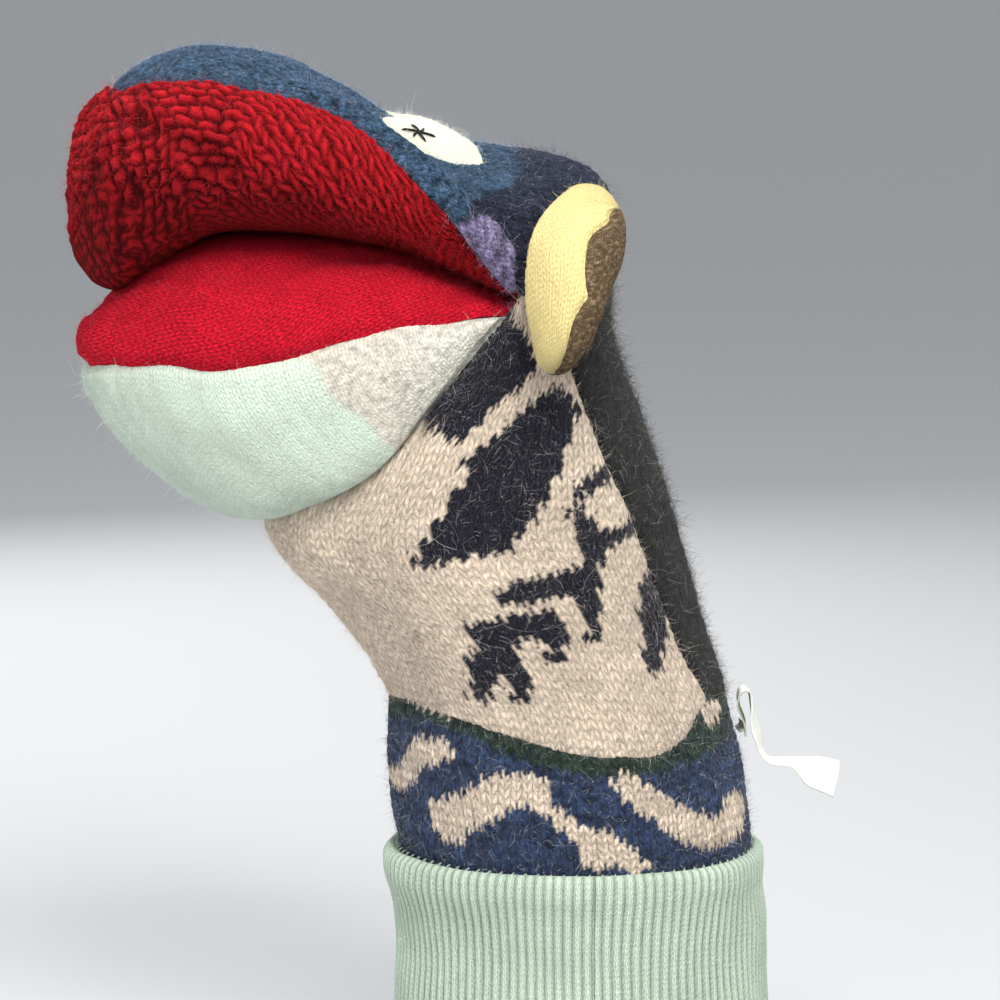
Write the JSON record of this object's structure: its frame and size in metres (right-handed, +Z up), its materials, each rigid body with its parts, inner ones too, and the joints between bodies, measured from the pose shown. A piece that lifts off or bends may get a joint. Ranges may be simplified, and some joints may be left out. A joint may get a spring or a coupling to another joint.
{
  "type": "hand puppet",
  "caption": "Knitted wool hand puppet with a wide stuffed mouth, felt eyes, padded ears, a patterned body and a ribbed arm cuff.",
  "frame": {"origin": "centre of the arm opening, level with the hem of the cuff", "axes": "+Z up along the forearm, -Y the way the face looks, +X to the puppet's left"},
  "size_m": [0.1532, 0.2004, 0.2755],
  "materials": {
    "mint_rib": "fine ribbed knit, matt",
    "patterned_knit": "felted two-colour knit, matt",
    "seam_thread": "sewing thread",
    "oatmeal_knit": "felted chunky knit, matt",
    "charcoal_felt": "felted wool, matt",
    "blue_knit": "felted marled knit, matt",
    "dark_red_knit": "chunky knit, matt",
    "bright_red_knit": "fine knit, matt",
    "mint_knit": "fine knit, matt",
    "filling": "polyester wadding",
    "pocket_jersey": "cotton jersey",
    "white_felt": "wool felt",
    "black_thread": "embroidery thread",
    "yellow_knit": "fine knit, matt",
    "brown_tweed": "tweed knit, matt",
    "white_ribbon": "woven ribbon"
  },
  "bodies": {
    "sleeve": {"cuff_ribbing": "mint_rib", "patterned_band": "patterned_knit", "cuff_seam_thread": "seam_thread"},
    "head": {"front_panel": "oatmeal_knit", "back_panel": "charcoal_felt", "head_panel": "blue_knit", "mouth_fold_seam": "dark_red_knit", "label_stitches": "seam_thread"},
    "snout": {"upper_mouth_lining": "dark_red_knit", "upper_jaw_filling": "filling", "finger_pocket": "pocket_jersey", "eye_left": "white_felt", "eye_right": "white_felt", "eye_left_stitches": "black_thread", "eye_right_stitches": "black_thread"},
    "jaw": {"chin_panel": "mint_knit", "lower_mouth_lining": "bright_red_knit", "lower_jaw_filling": "filling", "thumb_pocket": "pocket_jersey"},
    "ear_left": {"ear_left_front": "yellow_knit", "ear_left_back": "brown_tweed", "ear_left_filling": "filling", "ear_left_stitches": "yellow_knit"},
    "ear_right": {"ear_right_front": "yellow_knit", "ear_right_back": "brown_tweed", "ear_right_filling": "filling", "ear_right_stitches": "yellow_knit"},
    "label": {"label_ribbon": "white_ribbon"}
  },
  "joints": [
    {"name": "wrist_nod", "type": "hinge", "parent": "sleeve", "child": "head", "pos_m": [0, -0.004, 0.085], "axis": [1, 0, 0], "range_deg": [-20, 30], "deforming": ["patterned_band"]},
    {"name": "snout_lift", "type": "hinge", "parent": "head", "child": "snout", "pos_m": [0, -0.019, 0.212], "axis": [-1, 0, 0], "range_deg": [0, 20], "deforming": ["head_panel"]},
    {"name": "jaw_drop", "type": "hinge", "parent": "head", "child": "jaw", "pos_m": [0, -0.019, 0.212], "axis": [1, 0, 0], "range_deg": [0, 20], "deforming": ["chin_panel"]},
    {"name": "ear_left_flop", "type": "hinge", "parent": "head", "child": "ear_left", "pos_m": [0.0461, -0.00875, 0.221], "axis": [-0.1818, 0.2006, 0.9627], "range_deg": [-20, 20], "stiffness_Nm_per_rad": 0.03},
    {"name": "ear_right_flop", "type": "hinge", "parent": "head", "child": "ear_right", "pos_m": [-0.0461, -0.00875, 0.221], "axis": [-0.1818, -0.2006, -0.9627], "range_deg": [-20, 20], "stiffness_Nm_per_rad": 0.03},
    {"name": "label_swing", "type": "hinge", "parent": "head", "child": "label", "pos_m": [0, 0.043, 0.0974], "axis": [-1, 0, 0], "range_deg": [-5, 25], "stiffness_Nm_per_rad": 0.001}
  ]
}
